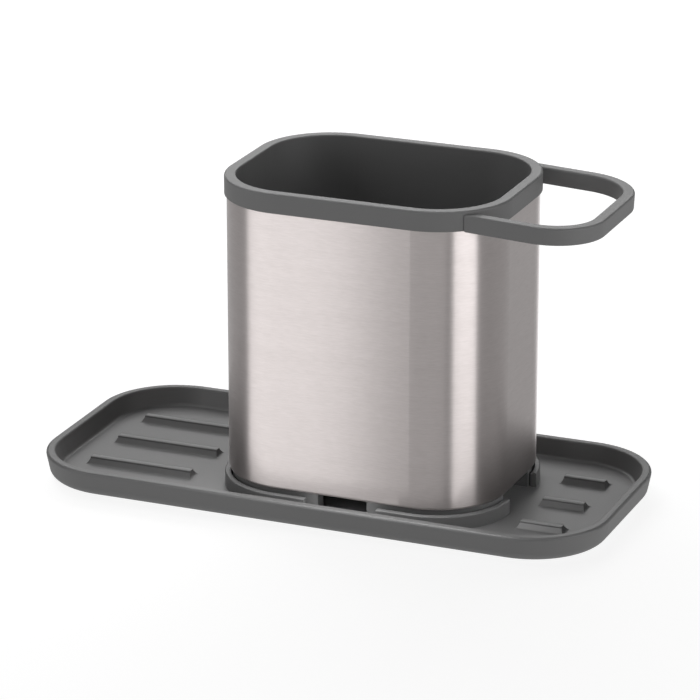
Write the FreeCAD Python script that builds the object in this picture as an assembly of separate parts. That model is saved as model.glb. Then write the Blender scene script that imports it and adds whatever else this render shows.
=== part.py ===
import FreeCAD, Part
import math
import os
from collections import namedtuple

# Kitchen sink caddy: a long drained tray with a brushed steel pot standing in a collar on it,
# a lift-out moulded liner in the pot, and a loop beside the rim to hang a cloth on.
# Millimetres, +Z up. The origin is on the counter, under the middle of the tray.
# +X runs to the loop's end of the tray, and the front of the caddy faces -Y.

V = FreeCAD.Vector
UP = V(0, 0, 1)

# Tray
tray_length = 284.4
tray_width = 132.4
tray_corner = 38.2
tray_height = 12.25
tray_flare = 2.4
land_width = 4.5
land_edge = 1.3
inner_slope = 3.2
floor_height = 3.7
floor_thickness = 2.4
floor_fillet = 1.8
lower_edge_round = 4.5
lower_edge_width = 5.4

# Drying ribs on the tray floor
rib_rows = 3
rib_pitch = 30.8
rib_top_width = 3.6
rib_edge = 0.3
rib_step = 0.8
rib_flank = 2.3
rib_side_slope = 45.0
rib_end_slope = 68.0
rib_foot_round = 1.5
rib_end_margin = 21.8
long_rib_gap = 17.2
short_rib_gap = 12.4

# Non-slip feet under the tray
foot_diameter = 14.0
foot_proud = 0.8
foot_edge = 0.5
foot_end_inset = 30.0
foot_side_inset = 28.0
foot_ring_width = 1.8
foot_ring_depth = 1.2
foot_clearance = 0.1

# Steel sleeve and its place on the tray
short_bay = 54.6
side_bay = 13.6
sleeve_length = 138.0
sleeve_corner = 35.2
sleeve_lift = 9.14
sheet = 0.6
curl = 1.4

# Collar on the tray and the base ring that stands in it
collar_height = 7.0
collar_thickness = 2.9
collar_edge = 0.5
collar_gap = 36.0
collar_clearance = 0.8
base_clearance = 0.2
base_shoulder_rise = 0.3
base_wall_height = 14.0
base_press_gap = 0.05
long_side_arch = 24.7
short_side_arch = 34.0
arch_height = 11.7
arch_round = 2.5
web_thickness = 2.0
web_depth = 4.5

# Liner pot and its rim
caddy_height = 153.7
rim_height = 9.5
rim_land = 5.5
rim_proud = 1.1
rim_outer_edge = 1.0
rim_inner_edge = 0.7
rim_lower_edge = 0.4
rim_seat_depth = 3.0
seat_clearance = 0.3
pot_wall = 2.0
pot_draft = 1.0
pot_lift = 11.5
pot_floor = 2.2
pot_fillet = 6.0
pot_clearance = 0.5
drain_slots = 7
drain_pitch = 12.0
drain_width = 4.0
drain_length = 44.0

# Cloth loop
loop_length = 46.4
loop_side_inset = 6.9
loop_corner = 27.5
loop_bar = 5.6
loop_height = 8.2
loop_drop = 2.3
loop_edge = 0.9
loop_tilt = 3.0
loop_root_gap = 0.4
tongue_width = 2.8
tongue_height = 2.6
tongue_drop = 1.1
tongue_depth = 3.6
tongue_clearance = 0.15

# Plan of the tray: the long bay is on the left of the caddy and the short bay on its right
sleeve_width = tray_width - 2 * side_bay
caddy_right = tray_length / 2 - short_bay
caddy_x = caddy_right - sleeve_length / 2
long_bay = tray_length - short_bay - sleeve_length
long_rib_length = long_bay - rib_end_margin - long_rib_gap
short_rib_length = short_bay - rib_end_margin - short_rib_gap
loop_half_width = sleeve_width / 2 - loop_side_inset

# Rounded rectangles seen from above, each centred on x, 0
Plan = namedtuple("Plan", "length width corner x")
TRAY = Plan(tray_length, tray_width, tray_corner, 0.0)
CADDY = Plan(sleeve_length, sleeve_width, sleeve_corner, caddy_x)
LOOP = Plan(sleeve_length + 2 * loop_length, 2 * loop_half_width, loop_corner, caddy_x)

# Levels
tray_base = foot_proud
tray_top = tray_base + tray_height
floor_top = tray_base + floor_height
floor_under = floor_top - floor_thickness
rib_top = floor_top + rib_flank + rib_step
collar_top = floor_top + collar_height
sleeve_bottom = floor_top + sleeve_lift
rim_top = floor_top + caddy_height
rim_bottom = rim_top - rim_height
sleeve_top = rim_bottom + rim_seat_depth
base_shoulder = sleeve_bottom + curl + base_shoulder_rise
base_top = base_shoulder + base_wall_height
pot_bottom = floor_top + pot_lift
pot_floor_top = pot_bottom + pot_floor

# Insets of the nested walls from the sleeve's outer face
rim_inset = rim_land - rim_proud
pot_inset = rim_inset - pot_wall
pot_slope = math.tan(math.radians(pot_draft))
base_skirt_inset = curl + base_clearance
base_wall_inset = sheet + base_press_gap
base_inner_inset = pot_inset + pot_slope * (rim_bottom - base_top) - pot_clearance
collar_inner_inset = base_skirt_inset - collar_clearance


def line(start, end):
    """Straight edge between two points."""
    return Part.LineSegment(start, end).toShape()


def outline(plan, inset, z):
    """Closed level wire of a plan drawn in by inset (let out where inset is negative)."""
    half_x = plan.length / 2 - plan.corner
    half_y = plan.width / 2 - plan.corner
    corners = ((1, 1), (-1, 1), (-1, -1), (1, -1))
    arcs = []
    for quarter, (side_x, side_y) in enumerate(corners):
        centre = V(plan.x + side_x * half_x, side_y * half_y, z)
        circle = Part.Circle(centre, UP, plan.corner - inset)
        arcs.append(Part.Arc(circle, quarter * math.pi / 2, (quarter + 1) * math.pi / 2))
    edges = []
    for arc, following in zip(arcs, arcs[1:] + arcs[:1]):
        edges.append(arc.toShape())
        edges.append(line(arc.EndPoint, following.StartPoint))
    return Part.Wire(edges)


def prism(plan, inset, low, high):
    """Upright solid on a plan, from level low to level high."""
    return Part.Face(outline(plan, inset, low)).extrude(V(0, 0, high - low))


def drafted(plan, low_inset, low, high_inset, high):
    """Solid whose walls slope evenly from one inset to another."""
    return Part.makeLoft([outline(plan, low_inset, low), outline(plan, high_inset, high)], True, True)


def box(low, high):
    """Box between two corners."""
    size = high - low
    return Part.makeBox(size.x, size.y, size.z, low)


def edges_at(shape, z):
    """The edges of a shape that lie wholly at one level."""
    tolerance = 1e-4
    return [e for e in shape.Edges if e.BoundBox.ZLength < tolerance and abs(e.BoundBox.ZMin - z) < tolerance]


def fuse(first, others):
    """One clean solid of a shape and the shapes joined to it."""
    return first.fuse(others).removeSplitter()


def rib_spread(slope):
    """Reach of a rib's foot beyond its top, where its flank slopes by this angle."""
    turn = math.radians(slope)
    return rib_flank / math.tan(turn) + rib_foot_round * math.tan(turn / 2)


def rib_section(half_top, slope, place):
    """Face of a rib's section: flat top, upright steps, sloping flanks and a hollow round at each foot."""
    reach = half_top + rib_spread(slope)

    def on_round(degrees_up):
        angle = math.radians(degrees_up)
        return reach - rib_foot_round * math.sin(angle), floor_top + rib_foot_round * (1 - math.cos(angle))

    side = [
        (half_top, rib_top),
        (half_top, floor_top + rib_flank),
        on_round(slope),
        on_round(slope / 2),
        on_round(0),
    ]
    edges = [
        line(place(-half_top, rib_top), place(half_top, rib_top)),
        line(place(-reach, floor_top), place(reach, floor_top)),
    ]
    for hand in (1, -1):
        top, step, flank_foot, hollow, foot_end = [place(hand * offset, z) for offset, z in side]
        edges += [line(top, step), line(step, flank_foot), Part.Arc(flank_foot, hollow, foot_end).toShape()]
    return Part.Face(Part.Wire(Part.sortEdges(edges)[0]))


def rib(x_low, length, y):
    """One drying rib: a section run lengthwise, met by a steeper one run across for its ends."""
    x_mid = x_low + length / 2
    reach_x = length / 2 + rib_spread(rib_end_slope)
    reach_y = rib_top_width / 2 + rib_spread(rib_side_slope)

    def across(offset, z):
        return V(x_mid - reach_x, y + offset, z)

    def along(offset, z):
        return V(x_mid + offset, y - reach_y, z)

    lengthwise = rib_section(rib_top_width / 2, rib_side_slope, across).extrude(V(2 * reach_x, 0, 0))
    endwise = rib_section(length / 2, rib_end_slope, along).extrude(V(0, 2 * reach_y, 0))
    bar = lengthwise.common(endwise)
    return bar.makeFillet(rib_edge, edges_at(bar, rib_top))


def ribs():
    """Rows of ribs in the long bay on the left and the short bay on the right."""
    left_start = -tray_length / 2 + rib_end_margin
    right_start = tray_length / 2 - rib_end_margin - short_rib_length
    rows = [(row - (rib_rows - 1) / 2) * rib_pitch for row in range(rib_rows)]
    left = [rib(left_start, long_rib_length, y) for y in rows]
    right = [rib(right_start, short_rib_length, y) for y in rows]
    return left + right


def collar():
    """Four corner walls round the foot of the caddy, with a gap in the middle of each side."""
    outer = prism(CADDY, collar_inner_inset - collar_thickness, floor_under, collar_top)
    ring = outer.cut(prism(CADDY, collar_inner_inset, floor_under, collar_top))
    half = collar_gap / 2
    for_x = box(V(-tray_length, -half, floor_top), V(tray_length, half, collar_top))
    for_y = box(V(caddy_x - half, -tray_width, floor_top), V(caddy_x + half, tray_width, collar_top))
    walls = ring.cut(for_x).cut(for_y)
    return walls.makeFillet(collar_edge, edges_at(walls, collar_top))


def foot_places():
    """Names and centres of the four feet."""
    x = tray_length / 2 - foot_end_inset
    y = tray_width / 2 - foot_side_inset
    return {
        "foot_front_left": (-x, -y),
        "foot_front_right": (x, -y),
        "foot_back_left": (-x, y),
        "foot_back_right": (x, y),
    }


def foot_ring(x, y):
    """Low ring under the tray floor that a foot is set into."""
    inner = foot_diameter / 2 + foot_clearance
    low = V(x, y, floor_under - foot_ring_depth)
    height = foot_ring_depth + floor_thickness / 2
    outer = Part.makeCylinder(inner + foot_ring_width, height, low)
    return outer.cut(Part.makeCylinder(inner, foot_ring_depth, low))


def base_tray():
    """The tray: wall with a flat top and a round lower edge, coved floor, ribs, collar and foot rings."""
    body = drafted(TRAY, tray_flare, tray_base, 0.0, tray_top)
    body = body.makeFillet(lower_edge_round, edges_at(body, tray_base))
    well = drafted(TRAY, land_width + inner_slope, floor_top, land_width, tray_top)
    well = well.makeFillet(floor_fillet, edges_at(well, floor_top))
    under = prism(TRAY, tray_flare + lower_edge_width, tray_base, floor_under)
    body = body.cut(well).cut(under)
    body = body.makeFillet(land_edge, edges_at(body, tray_top))
    rings = [foot_ring(x, y) for x, y in foot_places().values()]
    return fuse(body, ribs() + [collar()] + rings)


def foot(x, y):
    """One non-slip foot, set in its ring and standing proud of the tray's lower edge."""
    pad = Part.makeCylinder(foot_diameter / 2, floor_under, V(x, y, 0))
    return pad.makeChamfer(foot_edge, edges_at(pad, 0.0))


def steel_sleeve():
    """Rolled sheet tube, its lower edge turned inwards in a quarter round."""
    outer = prism(CADDY, 0.0, sleeve_bottom, sleeve_top)
    outer = outer.makeFillet(curl, edges_at(outer, sleeve_bottom))
    inner = prism(CADDY, sheet, sleeve_bottom + sheet, sleeve_top)
    inner = inner.makeFillet(curl - sheet, edges_at(inner, sleeve_bottom + sheet))
    mouth = prism(CADDY, curl, sleeve_bottom, sleeve_bottom + curl)
    return outer.cut(inner).cut(mouth)


def arch_tool(width, along_x):
    """Cutter for a pair of facing drain arches with round upper corners."""
    reach = tray_length
    half = width / 2
    top = floor_top + arch_height
    if along_x:
        tool = box(V(caddy_x - reach, -half, floor_top), V(caddy_x + reach, half, top))
    else:
        tool = box(V(caddy_x - half, -reach, floor_top), V(caddy_x + half, reach, top))
    return tool.makeFillet(arch_round, [e for e in edges_at(tool, top) if e.Length > width + arch_round])


def placed(shape, side_x, side_y):
    """A copy in one of the caddy's four quarters."""
    if side_x < 0:
        shape = shape.mirror(V(0, 0, 0), V(1, 0, 0))
    if side_y < 0:
        shape = shape.mirror(V(0, 0, 0), V(0, 1, 0))
    return shape.translated(V(caddy_x, 0, 0))


def arch_webs():
    """Short walls that stiffen the skirt at both sides of every arch."""
    face_x = sleeve_length / 2 - base_inner_inset
    face_y = sleeve_width / 2 - base_inner_inset
    webs = []
    for side in (1, -1):
        for hand in (1, -1):
            near = short_side_arch / 2
            low = V(face_x - web_depth, near, floor_top)
            web = box(low, V(face_x + web_thickness, near + web_thickness, pot_bottom - pot_clearance))
            webs.append(placed(web, side, hand))
            near = long_side_arch / 2
            low = V(near, face_y - web_depth, floor_top)
            web = box(low, V(near + web_thickness, face_y + web_thickness, pot_bottom - pot_clearance))
            webs.append(placed(web, side, hand))
    return webs


def sleeve_base():
    """Ring pressed into the sleeve's foot, with a skirt of four legs that stands in the collar."""
    skirt = prism(CADDY, base_skirt_inset, floor_top, base_top)
    wall = prism(CADDY, base_wall_inset, base_shoulder, base_top)
    ring = fuse(skirt, [wall]).cut(prism(CADDY, base_inner_inset, floor_top, base_top))
    ring = fuse(ring, [web.common(skirt) for web in arch_webs()])
    ring = ring.cut(arch_tool(long_side_arch, False))
    return ring.cut(arch_tool(short_side_arch, True))


def drain_slot(x):
    """Round-ended slot through the liner's floor."""
    radius = drain_width / 2
    straight = drain_length / 2 - radius
    low = V(x - radius, -straight, pot_bottom)
    slot = box(low, V(x + radius, straight, pot_floor_top))
    ends = [Part.makeCylinder(radius, pot_floor, V(x, y, pot_bottom)) for y in (-straight, straight)]
    return slot.fuse(ends).removeSplitter()


def tilted(shape):
    """A shape of the cloth loop, turned down about the line where the arms leave the rim."""
    pivot = V(caddy_right, 0, rim_top - loop_drop)
    return shape.rotated(pivot, V(0, 1, 0), loop_tilt)


def tongues(growth):
    """The loop's two tongues, grown all round for the sockets that take them."""
    top = rim_top - loop_drop - tongue_drop
    centre_y = loop_half_width - loop_bar / 2
    rim_corner = sleeve_corner + rim_proud
    rim_corner_y = sleeve_width / 2 - sleeve_corner
    rise = centre_y - rim_corner_y
    root = caddy_right - sleeve_corner + math.sqrt(rim_corner**2 - rise**2)
    half = tongue_width / 2 + growth
    low = V(root - tongue_depth - growth, centre_y - half, top - tongue_height - growth)
    high = V(root + 2 * loop_bar, centre_y + half, top + growth)
    tongue = box(low, high)
    return [tilted(tongue), tilted(tongue.mirror(V(0, 0, 0), V(0, 1, 0)))]


def on_outline(edge, inset):
    """Whether an edge's middle lies on the sleeve's outline drawn in by inset."""
    tolerance = 1e-2
    middle = edge.valueAt((edge.FirstParameter + edge.LastParameter) / 2)
    return outline(CADDY, inset, middle.z).distToShape(Part.Vertex(middle))[0] < tolerance


def inner_pot():
    """Lift-out liner: drafted pot with a drained floor and a rim that seats on the sleeve."""
    depth_slope = pot_slope * (rim_bottom - pot_bottom)
    pot = drafted(CADDY, pot_inset + depth_slope, pot_bottom, pot_inset, rim_bottom)
    rim = prism(CADDY, -rim_proud, rim_bottom, rim_top)
    rim = rim.makeFillet(rim_outer_edge, edges_at(rim, rim_top))
    rim = rim.makeChamfer(rim_lower_edge, edges_at(rim, rim_bottom))
    hollow_slope = pot_slope * (rim_top - pot_floor_top)
    hollow = drafted(CADDY, rim_inset + hollow_slope, pot_floor_top, rim_inset, rim_top)
    hollow = hollow.makeFillet(pot_fillet, edges_at(hollow, pot_floor_top))
    pot = fuse(pot, [rim]).cut(hollow)
    inner_edge = [e for e in edges_at(pot, rim_top) if on_outline(e, rim_inset)]
    pot = pot.makeFillet(rim_inner_edge, inner_edge)
    seat = prism(CADDY, -seat_clearance, rim_bottom, sleeve_top)
    seat = seat.cut(prism(CADDY, sheet + seat_clearance, rim_bottom, sleeve_top))
    pot = pot.cut([seat] + tongues(tongue_clearance))
    first = caddy_x - (drain_slots - 1) / 2 * drain_pitch
    return pot.cut([drain_slot(first + n * drain_pitch) for n in range(drain_slots)])


def cloth_loop():
    """Flat bar bent to a U, its two roots cut to the rim's curve and tongued into it."""
    top = rim_top - loop_drop
    low = top - loop_height
    outer = prism(LOOP, 0.0, low, top)
    bar = outer.cut(prism(LOOP, loop_bar, low, top))
    bar = bar.makeFillet(loop_edge, edges_at(bar, top) + edges_at(bar, low))
    rim_room = prism(CADDY, -rim_proud - loop_root_gap, 0.0, 2 * rim_top)
    behind = box(V(-tray_length, -tray_width, 0), V(caddy_x, tray_width, 2 * rim_top))
    arms = tilted(bar).cut(rim_room).cut(behind)
    return fuse(arms, tongues(0.0))


def main():
    """Build every piece and write one file for each."""
    pieces = {
        "base_tray": base_tray(),
        "steel_sleeve": steel_sleeve(),
        "sleeve_base": sleeve_base(),
        "inner_pot": inner_pot(),
        "cloth_loop": cloth_loop(),
    }
    for name, (x, y) in foot_places().items():
        pieces[name] = foot(x, y)
    os.makedirs("parts", exist_ok=True)
    for name, shape in pieces.items():
        solid = shape.Solids[0]
        if len(shape.Solids) != 1 or not solid.isValid():
            raise ValueError(f"{name}: {len(shape.Solids)} solids, valid {shape.isValid()}")
        solid.exportStep(f"parts/{name}.step")
        print(name, round(solid.Volume), "mm3", len(solid.Faces), "faces")


main()
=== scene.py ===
import logging
import math
from dataclasses import dataclass
from enum import Enum
from typing import ClassVar

import bmesh
import bpy
from bpy.types import Collection, Material, Node, NodeSocket, NodeTree
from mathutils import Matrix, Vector

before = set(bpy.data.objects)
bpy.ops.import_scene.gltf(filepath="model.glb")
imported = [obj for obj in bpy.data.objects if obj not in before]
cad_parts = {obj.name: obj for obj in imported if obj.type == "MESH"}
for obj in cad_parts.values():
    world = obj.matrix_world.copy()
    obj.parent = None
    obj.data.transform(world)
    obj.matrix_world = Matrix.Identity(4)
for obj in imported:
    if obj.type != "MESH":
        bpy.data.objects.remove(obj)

LOG = logging.getLogger("sink_caddy")
MM = 0.001


def linear(colour: str) -> tuple[float, float, float, float]:
    """Turn an sRGB hex colour into linear light, with the numbers of the sRGB standard.

    Args:
        colour: six hex digits, with or without a leading hash.

    Returns:
        Red, green, blue and an alpha of 1.
    """
    digits = colour.lstrip("#")
    shares = [int(digits[i:i + 2], 16) / 255 for i in (0, 2, 4)]
    red, green, blue = (s / 12.92 if s <= 0.04045 else ((s + 0.055) / 1.055) ** 2.4 for s in shares)
    return red, green, blue, 1.0


def per_metre(size_mm: float) -> float:
    """Give the scale of a pattern, its cells in a metre, from the size of one cell."""
    return 1.0 / (size_mm * MM)


def outward(azimuth_deg: float, elevation_deg: float) -> Vector:
    """Give the direction from the object to where it is seen from.

    Args:
        azimuth_deg: turn to the right from straight in front.
        elevation_deg: height above the level.

    Returns:
        A vector of length 1.
    """
    azimuth, elevation = math.radians(azimuth_deg), math.radians(elevation_deg)
    level = math.cos(elevation)
    return Vector((math.sin(azimuth) * level, -math.cos(azimuth) * level, math.sin(elevation)))


def add_node(
    tree: NodeTree, kind: str, inputs: dict[str | int, object] | None = None, **settings: object
) -> Node:
    """Add one node with its settings, values and links.

    Args:
        tree: the node tree that gets the node.
        kind: Blender's type name of the node.
        inputs: values or output sockets, by input name or number.
        settings: properties of the node.

    Returns:
        The new node.
    """
    node = tree.nodes.new(kind)
    for key, value in settings.items():
        setattr(node, key, value)
    for key, value in (inputs or {}).items():
        if isinstance(value, NodeSocket):
            tree.links.new(value, node.inputs[key])
        else:
            node.inputs[key].default_value = value
    return node


class Body(Enum):
    """The bodies that move against each other."""

    TRAY = "tray"
    CADDY = "caddy"
    LINER = "liner"


class Lights(Enum):
    """The nodes that a lamp reaches, where no names stand for everything."""

    EVERYTHING = ()
    STEEL = ("steel_sleeve",)
    PLASTIC = ("base_tray", "sleeve_base", "inner_pot", "cloth_loop")
    FOOT = ("base_tray", "sleeve_base")
    LINER = ("inner_pot", "cloth_loop")


@dataclass(frozen=True)
class Finish:
    """A surface finish that can be turned into a material."""

    name: str

    def material(self) -> Material:
        """Make the material once and hand it out again after that.

        Returns:
            The finish's material.
        """
        made = bpy.data.materials.get(self.name)
        if made is None:
            made = bpy.data.materials.new(self.name)
            made.use_nodes = True
            made.node_tree.nodes.clear()
            shader = self.shade(made.node_tree)
            add_node(made.node_tree, "ShaderNodeOutputMaterial", {"Surface": shader.outputs[0]})
        return made

    def shade(self, tree: NodeTree) -> Node:
        """Build the finish's nodes in an empty tree and give back the shader."""
        raise NotImplementedError


@dataclass(frozen=True)
class MouldedPolypropylene(Finish):
    """Polypropylene from a spark-eroded mould: an even satin grey with a fine matt grain.

    The grain breaks up every highlight, and the melt's flow leaves faint, broad differences in tone.
    """

    tone: str = "#646464"
    flow_tone: str = "#606060"
    flow_mm: float = 28.0
    roughness: float = 0.5
    roughness_spread: float = 0.08
    refraction: float = 1.49
    # The real grain is about 0.1 mm across; it is drawn three times as coarse, so that it shows.
    grain_mm: float = 0.3
    grain_depth_mm: float = 0.012
    grain_strength: float = 0.6

    def shade(self, tree: NodeTree) -> Node:
        """Build the moulded plastic's nodes.

        Args:
            tree: the material's empty node tree.

        Returns:
            The plastic's shader node.
        """
        place = add_node(tree, "ShaderNodeTexCoord").outputs["Object"]
        flow = add_node(tree, "ShaderNodeTexNoise", {
            "Vector": place, "Scale": per_metre(self.flow_mm), "Detail": 3.0, "Roughness": 0.55,
        })
        grain = add_node(tree, "ShaderNodeTexNoise", {
            "Vector": place, "Scale": per_metre(self.grain_mm), "Detail": 2.0, "Roughness": 0.6,
        })
        colour = add_node(tree, "ShaderNodeMix", {
            "Factor": flow.outputs["Fac"], "A": linear(self.tone), "B": linear(self.flow_tone),
        }, data_type="RGBA")
        roughness = add_node(tree, "ShaderNodeMapRange", {
            "Value": grain.outputs["Fac"],
            "To Min": self.roughness - self.roughness_spread,
            "To Max": self.roughness + self.roughness_spread,
        })
        bump = add_node(tree, "ShaderNodeBump", {
            "Height": grain.outputs["Fac"],
            "Strength": self.grain_strength,
            "Distance": self.grain_depth_mm * MM,
            "Normal": self.form(tree, place),
        })
        return add_node(tree, "ShaderNodeBsdfPrincipled", {
            "Base Color": self.add_painted_highlight(tree, place, colour.outputs["Result"]),
            "Roughness": roughness.outputs["Result"],
            "Normal": bump.outputs["Normal"],
            "IOR": self.refraction,
        })

    def form(self, tree: NodeTree, place: NodeSocket) -> NodeSocket:
        """Give the direction that the surface faces under the grain."""
        return add_node(tree, "ShaderNodeNewGeometry").outputs["Normal"]

    def add_painted_highlight(self, tree: NodeTree, place: NodeSocket, colour: NodeSocket) -> NodeSocket:
        """Give the colour with any painted highlight, which here is the moulded colour with none."""
        return colour


@dataclass(frozen=True)
class RibbedPolypropylene(MouldedPolypropylene):
    """The same polypropylene on the tray, where the ribs are crowned like beads and get a painted highlight
    on top.
    """

    # Painted highlight: the tops of the ribs are drawn in this paler tone for the light on them.
    painted_highlight_tone: str = "#7A7A7A"
    rib_pitch_mm: float = 30.8
    rib_half_width_mm: float = 1.8
    # A rib's top is what lies this near to its height and faces up at least this much.
    rib_top_mm: float = 7.6
    rib_top_reach_mm: float = 0.4
    level_from: float = 0.8
    # The slope at the long edges of a rib's top.
    crown_slope: float = 0.9

    def form(self, tree: NodeTree, place: NodeSocket) -> NodeSocket:
        """Lean the surface to either side of each rib's middle line.

        Args:
            tree: the material's node tree.
            place: coordinates on the piece.

        Returns:
            The socket with the direction that the crowned surface faces.
        """
        half_pitch = self.rib_pitch_mm * MM / 2
        slope_gain = self.crown_slope / (self.rib_half_width_mm * MM)
        across = add_node(tree, "ShaderNodeSeparateXYZ", {"Vector": place}).outputs["Y"]
        off_line = add_node(tree, "ShaderNodeMath", {
            0: across, 1: half_pitch, 2: -half_pitch,
        }, operation="WRAP")
        slope = add_node(tree, "ShaderNodeMath", {
            0: off_line.outputs["Value"], 1: slope_gain,
        }, operation="MULTIPLY")
        lean = add_node(tree, "ShaderNodeMath", {
            0: slope.outputs["Value"], 1: self.rib_tops(tree, place),
        }, operation="MULTIPLY")
        tilt = add_node(tree, "ShaderNodeCombineXYZ", {"Y": lean.outputs["Value"]})
        leaning = add_node(tree, "ShaderNodeVectorMath", {
            0: super().form(tree, place), 1: tilt.outputs["Vector"],
        }, operation="ADD")
        crowned = add_node(tree, "ShaderNodeVectorMath", {
            0: leaning.outputs["Vector"],
        }, operation="NORMALIZE")
        return crowned.outputs["Vector"]

    def add_painted_highlight(self, tree: NodeTree, place: NodeSocket, colour: NodeSocket) -> NodeSocket:
        """Paint the tops of the ribs paler, a painted highlight for the light that falls on them.

        Args:
            tree: the material's node tree.
            place: coordinates on the piece.
            colour: the moulded surface's colour.

        Returns:
            The socket with the colour with the painted highlight on the rib tops.
        """
        # Painted highlight: the rib tops are mixed towards the paler tone.
        highlighted = add_node(tree, "ShaderNodeMix", {
            "Factor": self.rib_tops(tree, place), "A": colour, "B": linear(self.painted_highlight_tone),
        }, data_type="RGBA")
        return highlighted.outputs["Result"]

    def rib_tops(self, tree: NodeTree, place: NodeSocket) -> NodeSocket:
        """Find the tops of the ribs.

        Args:
            tree: the material's node tree.
            place: coordinates on the piece.

        Returns:
            The socket that is 1 on a rib's top and 0 elsewhere.
        """
        facing = super().form(tree, place)
        height = add_node(tree, "ShaderNodeSeparateXYZ", {"Vector": place}).outputs["Z"]
        upward = add_node(tree, "ShaderNodeSeparateXYZ", {"Vector": facing}).outputs["Z"]
        at_top = add_node(tree, "ShaderNodeMath", {
            0: height, 1: self.rib_top_mm * MM, 2: self.rib_top_reach_mm * MM,
        }, operation="COMPARE")
        level = add_node(tree, "ShaderNodeMath", {
            0: upward, 1: self.level_from,
        }, operation="GREATER_THAN")
        both = add_node(tree, "ShaderNodeMath", {
            0: at_top.outputs["Value"], 1: level.outputs["Value"],
        }, operation="MULTIPLY")
        return both.outputs["Value"]


@dataclass(frozen=True)
class BrushedStainless(Finish):
    """Stainless sheet brushed round the sleeve: warm grey, with highlights drawn out upright.

    Fine level scratches scatter light up and down and keep it sharp sideways, so lamps show as upright bands.
    """

    light_tone: str = "#CEC7C6"
    dark_tone: str = "#B6AFAD"
    roughness: float = 0.34
    roughness_spread: float = 0.05
    anisotropy: float = 0.9
    # A quarter turn draws highlights out across the scratches.
    anisotropy_turn: float = 0.25
    # The scratches are about 0.05 mm apart; they are drawn 0.4 mm apart, so that they show.
    scratch_mm: float = 0.4
    scratch_length_mm: float = 4.5
    scratch_depth_mm: float = 0.006
    scratch_strength: float = 0.5
    band_mm: float = 2.4
    band_length_mm: float = 150.0
    band_share: float = 0.22

    def shade(self, tree: NodeTree) -> Node:
        """Build the brushed sheet's nodes.

        Args:
            tree: the material's empty node tree.

        Returns:
            The steel's shader node.
        """
        place = add_node(tree, "ShaderNodeTexCoord").outputs["Object"]
        scratch = self.streaks(tree, place, self.scratch_length_mm, self.scratch_mm)
        band = self.streaks(tree, place, self.band_length_mm, self.band_mm)
        brushing = add_node(tree, "ShaderNodeMix", {
            "Factor": self.band_share, "A": scratch, "B": band,
        })
        colour = add_node(tree, "ShaderNodeMix", {
            "Factor": brushing.outputs["Result"], "A": linear(self.dark_tone), "B": linear(self.light_tone),
        }, data_type="RGBA")
        roughness = add_node(tree, "ShaderNodeMapRange", {
            "Value": brushing.outputs["Result"],
            "To Min": self.roughness + self.roughness_spread,
            "To Max": self.roughness - self.roughness_spread,
        })
        bump = add_node(tree, "ShaderNodeBump", {
            "Height": scratch, "Strength": self.scratch_strength, "Distance": self.scratch_depth_mm * MM,
        })
        tangent = add_node(tree, "ShaderNodeTangent", direction_type="RADIAL", axis="Z")
        return add_node(tree, "ShaderNodeBsdfPrincipled", {
            "Base Color": colour.outputs["Result"],
            "Metallic": 1.0,
            "Roughness": roughness.outputs["Result"],
            "Anisotropic": self.anisotropy,
            "Anisotropic Rotation": self.anisotropy_turn,
            "Tangent": tangent.outputs["Tangent"],
            "Normal": bump.outputs["Normal"],
        })

    @staticmethod
    def streaks(tree: NodeTree, place: NodeSocket, length_mm: float, width_mm: float) -> NodeSocket:
        """Draw streaks that run level round the sleeve.

        Args:
            tree: the material's node tree.
            place: coordinates on the piece.
            length_mm: length of a streak.
            width_mm: height of a streak.

        Returns:
            The socket with the streaks, from 0 to 1.
        """
        along = per_metre(length_mm)
        stretched = add_node(tree, "ShaderNodeMapping", {
            "Vector": place, "Scale": (along, along, per_metre(width_mm)),
        })
        noise = add_node(tree, "ShaderNodeTexNoise", {
            "Vector": stretched.outputs["Vector"], "Scale": 1.0, "Detail": 3.0, "Roughness": 0.6,
        })
        return noise.outputs["Fac"]


@dataclass(frozen=True)
class SoftElastomer(Finish):
    """Soft elastomer of the feet: charcoal, dull and slightly dusty, so that it grips."""

    tone: str = "#3A3A3A"
    roughness: float = 0.85
    dustiness: float = 0.1
    grain_mm: float = 0.5
    grain_depth_mm: float = 0.02
    grain_strength: float = 0.5

    def shade(self, tree: NodeTree) -> Node:
        """Build the elastomer's nodes.

        Args:
            tree: the material's empty node tree.

        Returns:
            The elastomer's shader node.
        """
        place = add_node(tree, "ShaderNodeTexCoord").outputs["Object"]
        grain = add_node(tree, "ShaderNodeTexNoise", {
            "Vector": place, "Scale": per_metre(self.grain_mm), "Detail": 2.0,
        })
        bump = add_node(tree, "ShaderNodeBump", {
            "Height": grain.outputs["Fac"],
            "Strength": self.grain_strength,
            "Distance": self.grain_depth_mm * MM,
        })
        return add_node(tree, "ShaderNodeBsdfPrincipled", {
            "Base Color": linear(self.tone),
            "Roughness": self.roughness,
            "Normal": bump.outputs["Normal"],
            "Sheen Weight": self.dustiness,
        })


@dataclass(frozen=True)
class LitTable(Finish):
    """Matt white acrylic of a table lit from below, which keeps shadows on it faint."""

    tone: str = "#9A9A9A"
    glow_tone: str = "#FFFFFF"
    glow: float = 0.88
    roughness: float = 0.9
    gloss: float = 0.1

    def shade(self, tree: NodeTree) -> Node:
        """Build the acrylic's node.

        Args:
            tree: the material's empty node tree.

        Returns:
            The acrylic's shader node.
        """
        return add_node(tree, "ShaderNodeBsdfPrincipled", {
            "Base Color": linear(self.tone),
            "Roughness": self.roughness,
            "Specular IOR Level": self.gloss,
            "Emission Color": linear(self.glow_tone),
            "Emission Strength": self.glow,
        })


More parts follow.
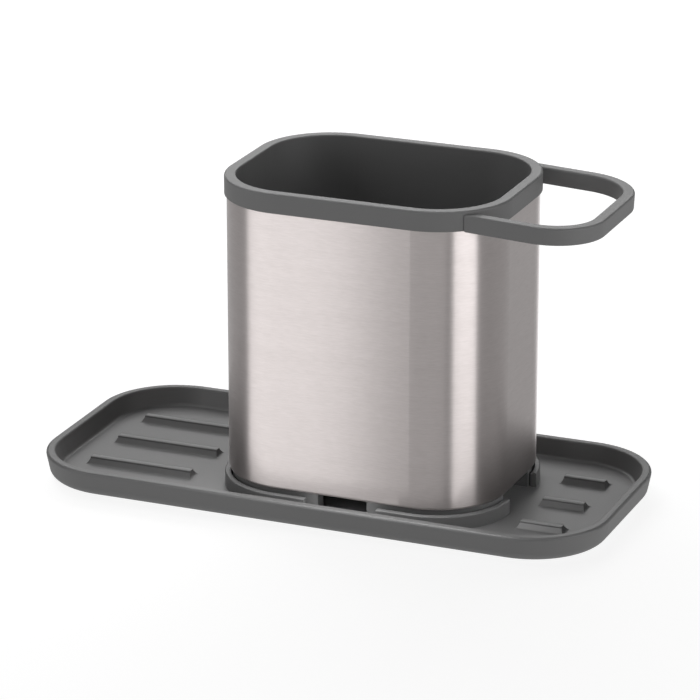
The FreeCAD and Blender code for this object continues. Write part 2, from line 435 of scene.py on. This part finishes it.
@dataclass
class SubAssembly:
    """CAD nodes that move together, each with its finish."""

    body: ClassVar[Body]

    def finishes(self) -> dict[str, Finish]:
        """Say what each node is made of, by its name."""
        raise NotImplementedError

    def dress(self) -> None:
        """Give every node its material."""
        for name, finish in self.finishes().items():
            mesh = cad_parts[name].data
            mesh.materials.clear()
            mesh.materials.append(finish.material())
            LOG.info("%s on the %s: %s", name, self.body.value, finish.name)


@dataclass
class DripTray(SubAssembly):
    """The ribbed tray with its four feet."""

    plastic: Finish
    rubber: Finish
    body: ClassVar[Body] = Body.TRAY

    def finishes(self) -> dict[str, Finish]:
        """Say what each node is made of, by its name."""
        feet = [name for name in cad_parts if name.startswith("foot_")]
        return {"base_tray": self.plastic} | {name: self.rubber for name in feet}


@dataclass
class SteelCaddy(SubAssembly):
    """The steel sleeve on its moulded base ring."""

    steel: Finish
    plastic: Finish
    body: ClassVar[Body] = Body.CADDY

    def finishes(self) -> dict[str, Finish]:
        """Say what each node is made of, by its name."""
        return {"steel_sleeve": self.steel, "sleeve_base": self.plastic}


@dataclass
class LiftOutLiner(SubAssembly):
    """The liner pot with its rim, and the loop beside it."""

    plastic: Finish
    body: ClassVar[Body] = Body.LINER

    def finishes(self) -> dict[str, Finish]:
        """Say what each node is made of, by its name."""
        return {"inner_pot": self.plastic, "cloth_loop": self.plastic}


@dataclass
class Softbox:
    """A rectangular lamp that faces a point.

    Flags and screens of a studio are stood in for by lists of the pieces that a lamp reaches. A spread
    below 180 degrees is a grid in front of the lamp: it narrows the beam and keeps the lamp's power.
    """

    name: str
    place_mm: tuple[float, float, float]
    target_mm: tuple[float, float, float]
    width_mm: float
    height_mm: float
    radiance: float
    lights: Lights = Lights.EVERYTHING
    spread_deg: float = 180.0

    def build(self) -> None:
        """Hang the lamp."""
        lamp = bpy.data.lights.new(self.name, "AREA")
        lamp.shape = "RECTANGLE"
        lamp.size = self.width_mm * MM
        lamp.size_y = self.height_mm * MM
        lamp.energy = self.radiance * math.pi * lamp.size * lamp.size_y
        lamp.spread = math.radians(self.spread_deg)
        hung = bpy.data.objects.new(self.name, lamp)
        bpy.context.scene.collection.objects.link(hung)
        hung.location = Vector(self.place_mm) * MM
        aim = Vector(self.target_mm) - Vector(self.place_mm)
        hung.rotation_mode = "QUATERNION"
        hung.rotation_quaternion = aim.to_track_quat("-Z", "Y")
        hung.visible_camera = False
        if self.lights is not Lights.EVERYTHING:
            hung.light_linking.receiver_collection = self.group("lights", self.lights.value)
        if self.lights is Lights.STEEL:
            # These lamps stand for the bright table too, so only the upper pieces shade them.
            shades = Lights.STEEL.value + Lights.LINER.value
            hung.light_linking.blocker_collection = self.group("shades", shades)

    def group(self, purpose: str, names: tuple[str, ...]) -> Collection:
        """Gather pieces for the lamp's light linking.

        Args:
            purpose: what the lamp does to the pieces.
            names: nodes to gather.

        Returns:
            The group, which stays out of the scene's own collections.
        """
        group = bpy.data.collections.new(f"{self.name}_{purpose}")
        for name in names:
            group.objects.link(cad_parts[name])
        return group


@dataclass
class Studio:
    """White table, soft lamps and the camera."""

    table: Finish
    floor_mm: float = 12000.0
    room_tone: str = "#FFFFFF"
    room_above: float = 0.02
    room_below: float = 0.56
    horizon_blur: float = 0.1
    # The camera's place is measured from a point this high on the upright axis.
    camera_base_mm: float = 0.8
    camera_distance_mm: float = 1858.1
    camera_azimuth_deg: float = 22.37
    camera_elevation_deg: float = 21.27
    # It looks back along this direction, a little off that point, as the framing needs.
    camera_yaw_deg: float = 22.32
    camera_pitch_deg: float = 19.33
    lens_mm: float = 199.1
    sensor_mm: float = 36.0

    def build(self) -> None:
        """Set up table, surroundings, lamps and camera."""
        self.build_floor()
        self.build_surroundings()
        for lamp in self.lamps():
            lamp.build()
        self.build_camera()
        bpy.context.scene.view_settings.view_transform = "Standard"

    def lamps(self) -> list[Softbox]:
        """List the lamps of the set, each with its place, target, width, height, radiance and reach.

        Returns:
            The lamps, not yet hung.
        """
        return [
            Softbox("key_back_left", (-550, 950, 800), (0, 0, 20), 1200, 700, 3.2),
            Softbox("back_wall", (0, 2200, 700), (0, 0, 300), 3000, 1400, 0.21),
            Softbox("left_high", (-700, 150, 1300), (0, 0, 50), 900, 900, 1.7),
            Softbox("left_front", (-900, -900, 500), (0, 0, 50), 800, 800, 2.4, Lights.PLASTIC),
            Softbox("right_low", (1300, -300, 220), (0, 0, 50), 1000, 400, 2.8, Lights.PLASTIC),
            Softbox("right_high", (1300, 0, 600), (0, 0, 50), 1000, 1000, 1.43, Lights.PLASTIC),
            Softbox("foot_strip", (33, -75, 80), (33, -58, 10), 120, 20, 14, Lights.FOOT),
            Softbox("gap_kicker", (18.6, -58, 14), (18.6, -32, 4), 34, 4, 3.6, Lights.FOOT),
            Softbox("side_spot", (145, -30, 60), (86, -2, 8), 40, 20, 0.6, Lights.FOOT, 44),
            Softbox("liner_top", (150, -250, 1050), (40, 0, 150), 500, 500, 3.5, Lights.LINER),
            Softbox("panel_left_front", (-207, -238, 60), (-4, 164, 60), 303, 500, 1.17, Lights.STEEL),
            Softbox("steel_foot", (-3, -60, 9), (-3, -40, 9), 95, 9, 0.85, Lights.STEEL),
            Softbox("steel_foot_right", (70, -60, 9), (70, -40, 9), 50, 9, 0.3, Lights.STEEL),
            Softbox("panel_back", (-100, 560, 60), (0, 30, 60), 500, 500, 0.7, Lights.STEEL),
            Softbox("panel_front", (110, -548, 60), (65, -30, 60), 560, 500, 0.3, Lights.STEEL),
            Softbox("panel_right_front", (640, -329, 60), (52, -17, 60), 433, 500, 2.25, Lights.STEEL),
        ]

    def build_floor(self) -> None:
        """Lay the white table top."""
        made = bmesh.new()
        bmesh.ops.create_grid(made, x_segments=1, y_segments=1, size=self.floor_mm * MM / 2)
        mesh = bpy.data.meshes.new("studio_floor")
        made.to_mesh(mesh)
        made.free()
        floor = bpy.data.objects.new("studio_floor", mesh)
        bpy.context.scene.collection.objects.link(floor)
        mesh.materials.append(self.table.material())
        # Gloss takes in a dimmer room instead of the white table, as it would beyond the table's edge.
        floor.visible_glossy = False

    def build_surroundings(self) -> None:
        """Fill the room with even light, brighter below than above."""
        world = bpy.data.worlds.new("studio_room")
        bpy.context.scene.world = world
        world.use_nodes = True
        tree = world.node_tree
        tree.nodes.clear()
        direction = add_node(tree, "ShaderNodeTexCoord").outputs["Generated"]
        height = add_node(tree, "ShaderNodeSeparateXYZ", {"Vector": direction})
        strength = add_node(tree, "ShaderNodeMapRange", {
            "Value": height.outputs["Z"],
            "From Min": -self.horizon_blur,
            "From Max": self.horizon_blur,
            "To Min": self.room_below,
            "To Max": self.room_above,
        }, interpolation_type="SMOOTHSTEP")
        room = add_node(tree, "ShaderNodeBackground", {
            "Color": linear(self.room_tone), "Strength": strength.outputs["Result"],
        })
        add_node(tree, "ShaderNodeOutputWorld", {"Surface": room.outputs[0]})

    def build_camera(self) -> None:
        """Set the camera where the photograph was taken from."""
        lens = bpy.data.cameras.new("camera")
        lens.sensor_width = self.sensor_mm
        lens.lens = self.lens_mm
        camera = bpy.data.objects.new("camera", lens)
        bpy.context.scene.collection.objects.link(camera)
        away = outward(self.camera_azimuth_deg, self.camera_elevation_deg) * self.camera_distance_mm
        camera.location = (away + Vector((0, 0, self.camera_base_mm))) * MM
        aim = -outward(self.camera_yaw_deg, self.camera_pitch_deg)
        camera.rotation_mode = "QUATERNION"
        camera.rotation_quaternion = aim.to_track_quat("-Z", "Y")
        bpy.context.scene.camera = camera


def main() -> None:
    """Dress the caddy and light it."""
    logging.basicConfig(level=logging.INFO)
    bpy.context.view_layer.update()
    plastic = MouldedPolypropylene("matt_moulded_polypropylene")
    ribbed = RibbedPolypropylene("matt_moulded_polypropylene_ribbed")
    steel = BrushedStainless("brushed_stainless_sheet")
    rubber = SoftElastomer("soft_charcoal_elastomer")
    for assembly in (DripTray(ribbed, rubber), SteelCaddy(steel, plastic), LiftOutLiner(plastic)):
        assembly.dress()
    Studio(LitTable("lit_white_acrylic")).build()


if __name__ == "__main__":
    main()
